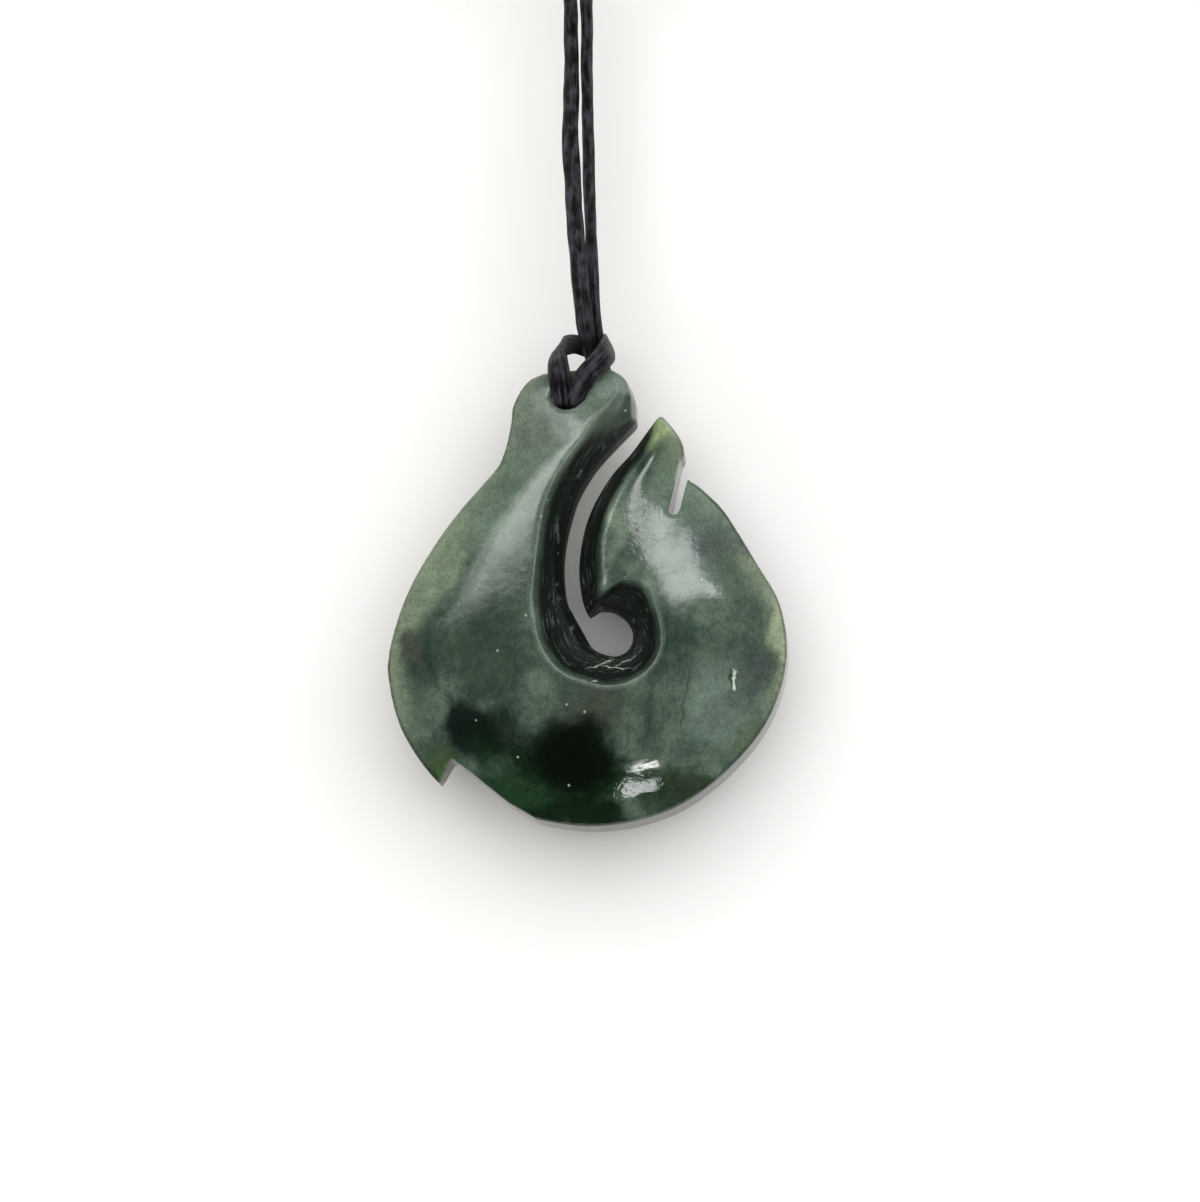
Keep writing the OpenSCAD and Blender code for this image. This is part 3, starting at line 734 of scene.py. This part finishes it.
# The rings of the braid stand CORD_STEP apart, so its relief and its fibres keep their size all along.
fine = [route_station(i / ROUTE_STEPS) for i in range((len(ROUTE) - 1) * ROUTE_STEPS + 1)]
reach = [0.0]
for one, two in zip(fine, fine[1:]):
    reach.append(reach[-1] + (two[0] - one[0]).length)
cord_length = reach[-1]
count = round(cord_length / CORD_STEP)
even = []
nearest = 0
for i in range(count + 1):
    target = cord_length * i / count
    while nearest < len(reach) - 2 and reach[nearest + 1] < target:
        nearest += 1
    share = (target - reach[nearest]) / (reach[nearest + 1] - reach[nearest])
    one, two = fine[nearest], fine[nearest + 1]
    even.append([one[0].lerp(two[0], share)] + [one[k] + (two[k] - one[k]) * share for k in (1, 2, 3)])
cord_rings = []
for i, (point, wide, thick, facing) in enumerate(even):
    along = (even[min(i + 1, count)][0] - even[max(i - 1, 0)][0]).normalized()
    across = along.cross(facing).normalized()
    outward = across.cross(along)
    ring = []
    for k in range(CORD_SIDES):
        turn = math.tau * k / CORD_SIDES
        round_it = (BUNDLES_ROUND * math.cos(turn), BUNDLES_ROUND * math.sin(turn))
        swell = 1 + BRAID_RELIEF * noise.noise(Vector((*round_it, BUNDLES_ALONG * CORD_STEP * i)))
        reach_out = wide / 2 * math.cos(turn) * across + thick / 2 * math.sin(turn) * outward
        ring.append(point + swell * reach_out)
    cord_rings.append(ring)
cord = mesh_piece("waxed_cord", rolled_grid(cord_rings), waxed_cord)
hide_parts("cord")
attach(cord, "root")


# Closing knot
# The two ends are tied at the nape with a wrapped barrel knot of the same cord,
# whose six tight turns close the loop and hide both ends.
KNOT_WRAPS = 6
KNOT_D = 3.5
KNOT_LENGTH = 8.8
WRAP_D = 1.3
WRAP_SIDES = 14
TURN_STEPS = 20
wraps = bmesh.new()
start = Vector((-(KNOT_LENGTH - WRAP_D) / 2, 0, ROUTE[0][2])) * MM
profile = bmesh.ops.create_circle(wraps, segments=WRAP_SIDES, radius=WRAP_D / 2 * MM)["verts"]
bmesh.ops.translate(wraps, verts=profile, vec=Vector(((KNOT_D - WRAP_D) / 2, 0, 0)) * MM)
bmesh.ops.rotate(wraps, verts=profile, cent=(0, 0, 0), matrix=Matrix.Rotation(math.pi / 2, 3, "Y"))
bmesh.ops.rotate(wraps, verts=profile, cent=(0, 0, 0), matrix=Matrix.Rotation(math.pi / 2, 3, "Z"))
bmesh.ops.translate(wraps, verts=profile, vec=start)
turns = KNOT_WRAPS - 1
step_along = (KNOT_LENGTH - WRAP_D) / turns / TURN_STEPS * MM
bmesh.ops.spin(
    wraps, geom=profile + list(wraps.edges), cent=start, axis=(1, 0, 0), angle=math.tau * turns,
    steps=TURN_STEPS * turns, dvec=(step_along, 0, 0))
bmesh.ops.holes_fill(wraps, edges=[edge for edge in wraps.edges if edge.is_boundary])
bmesh.ops.recalc_face_normals(wraps, faces=wraps.faces)
knot = mesh_piece("closing_knot_wraps", wraps, waxed_cord)
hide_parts("closing_knot")
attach(knot, "root")


# Backdrop and floor
# A pale sheet close behind the hook takes its soft shadow; the floor lies well below. The paper is clear
# from its back, so the views from behind see the hook. It is matt white card, a little cool in tone, so
# that nothing but the soft shadow shows on it.
paper = new_material("white_paper")
shader = add_node(paper, "ShaderNodeBsdfPrincipled", {"Base Color": linear("EEF0F2"), "Roughness": 0.9})
clear = add_node(paper, "ShaderNodeBsdfTransparent")
side = add_node(paper, "ShaderNodeNewGeometry")
one_sided = add_node(paper, "ShaderNodeMixShader", links={
    0: side.outputs["Backfacing"], 1: shader.outputs["BSDF"], 2: clear.outputs["BSDF"]})
add_node(paper, "ShaderNodeOutputMaterial", links={"Surface": one_sided.outputs["Shader"]})
BACKDROP_SIZE = 2.0
BACKDROP_Y = 0.009
FLOOR_SIZE = 1.2
FLOOR_Z = -1.0
for name, size, place_at, turn in (
    ("paper_backdrop", BACKDROP_SIZE, (0, BACKDROP_Y, 0), Matrix.Rotation(math.pi / 2, 3, "X")),
    ("paper_floor", FLOOR_SIZE, (0, 0, FLOOR_Z), Matrix.Identity(3)),
):
    sheet = bmesh.new()
    bmesh.ops.create_grid(sheet, x_segments=1, y_segments=1, size=size / 2)
    bmesh.ops.rotate(sheet, verts=sheet.verts, cent=(0, 0, 0), matrix=turn)
    bmesh.ops.translate(sheet, verts=sheet.verts, vec=place_at)
    stage = mesh_piece(name, sheet, paper)


# Light
# Broad soft panels light the room from the front, the right, below and behind. A window with its curtain
# high on the left, a smaller pane on the right and a row of small lamps near the camera only show as glints
# in the polish.
def soft_panel(name, at, size, power, roll=0, lights=True, glints=True):
    """An area lamp aimed at the hook, with its place and size in metres and its power in watts."""
    lamp = bpy.data.lights.new(name, "AREA")
    lamp.shape = "RECTANGLE"
    lamp.size, lamp.size_y = size
    lamp.energy = power
    holder = bpy.data.objects.new(name, lamp)
    bpy.context.collection.objects.link(holder)
    holder.location = at
    holder.rotation_mode = "QUATERNION"
    aim = (LOOK_AT - Vector(at)).to_track_quat("-Z", "Y")
    holder.rotation_quaternion = aim @ Quaternion((0, 0, 1), math.radians(roll))
    holder.visible_diffuse = lights
    holder.visible_glossy = glints
    holder.visible_camera = False


soft_panel("room", (0.2, -1.5, 0.4), (3.1, 2.4), 36.5, glints=False)
soft_panel("room_floor", (-0.3, -0.9, -0.9), (2.2, 1.2), 4.5, glints=False)
soft_panel("room_right", (1.2, -1.0, 0.0), (1.2, 1.5), 3.0, glints=False)
soft_panel("room_behind", (-0.4, 1.6, 0.6), (3.5, 2.5), 45, glints=False)
soft_panel("window", (-0.33, -0.9, 0.34), (0.24, 0.40), 0.72, lights=False)
soft_panel("window_curtain", (-0.352, -0.9, 0.33), (0.37, 0.48), 1.0, lights=False)
soft_panel("window_right_pane", (0.233, -0.86, 0.328), (0.28, 0.12), 0.62, roll=25, lights=False)
LAMPS = 6
LAMPS_X = 0.0247
LAMPS_Z = -0.2507
LAMP_SPACING = 0.006
LAMP_SIZE = (0.0022, 0.0022)
LAMP_POWER = 0.0022
soft_panel("camera_lamps_glow", (LAMPS_X, -0.352, LAMPS_Z), (0.052, 0.012), 0.003, lights=False)
soft_panel("camera_lamps_lower", (0.018, -0.345, -0.281), (0.050, 0.018), 0.022, lights=False)
for number in range(LAMPS):
    lamp_x = LAMPS_X + LAMP_SPACING * (number - (LAMPS - 1) / 2)
    soft_panel(f"camera_lamp_{number}", (lamp_x, -0.351, LAMPS_Z), LAMP_SIZE, LAMP_POWER, lights=False)
# The room round all this lights the piece dimly and warmly, is nearly dark in the polish, and is pale where
# the camera sees it past the paper.
ROOM_LIGHT = 0.36
ROOM_IN_POLISH = 0.04
ROOM_SEEN = 1
world = bpy.data.worlds.new("studio")
bpy.context.scene.world = world
world.use_nodes = True
background = world.node_tree.nodes["Background"]
ray = add_node(world, "ShaderNodeLightPath")
tint = add_node(world, "ShaderNodeMix", {
    "data_type": "RGBA", 6: linear("FFF0DE"), 7: linear("FCFBF9")}, {0: ray.outputs["Is Camera Ray"]})
in_polish = add_node(world, "ShaderNodeMapRange", {"To Min": ROOM_LIGHT, "To Max": ROOM_IN_POLISH}, {
    "Value": ray.outputs["Is Glossy Ray"]})
to_camera = add_node(world, "ShaderNodeMapRange", {"To Max": ROOM_SEEN}, {
    "Value": ray.outputs["Is Camera Ray"], "To Min": in_polish.outputs[0]})
world.node_tree.links.new(tint.outputs[2], background.inputs["Color"])
world.node_tree.links.new(to_camera.outputs[0], background.inputs["Strength"])
bpy.context.scene.view_settings.view_transform = "Standard"
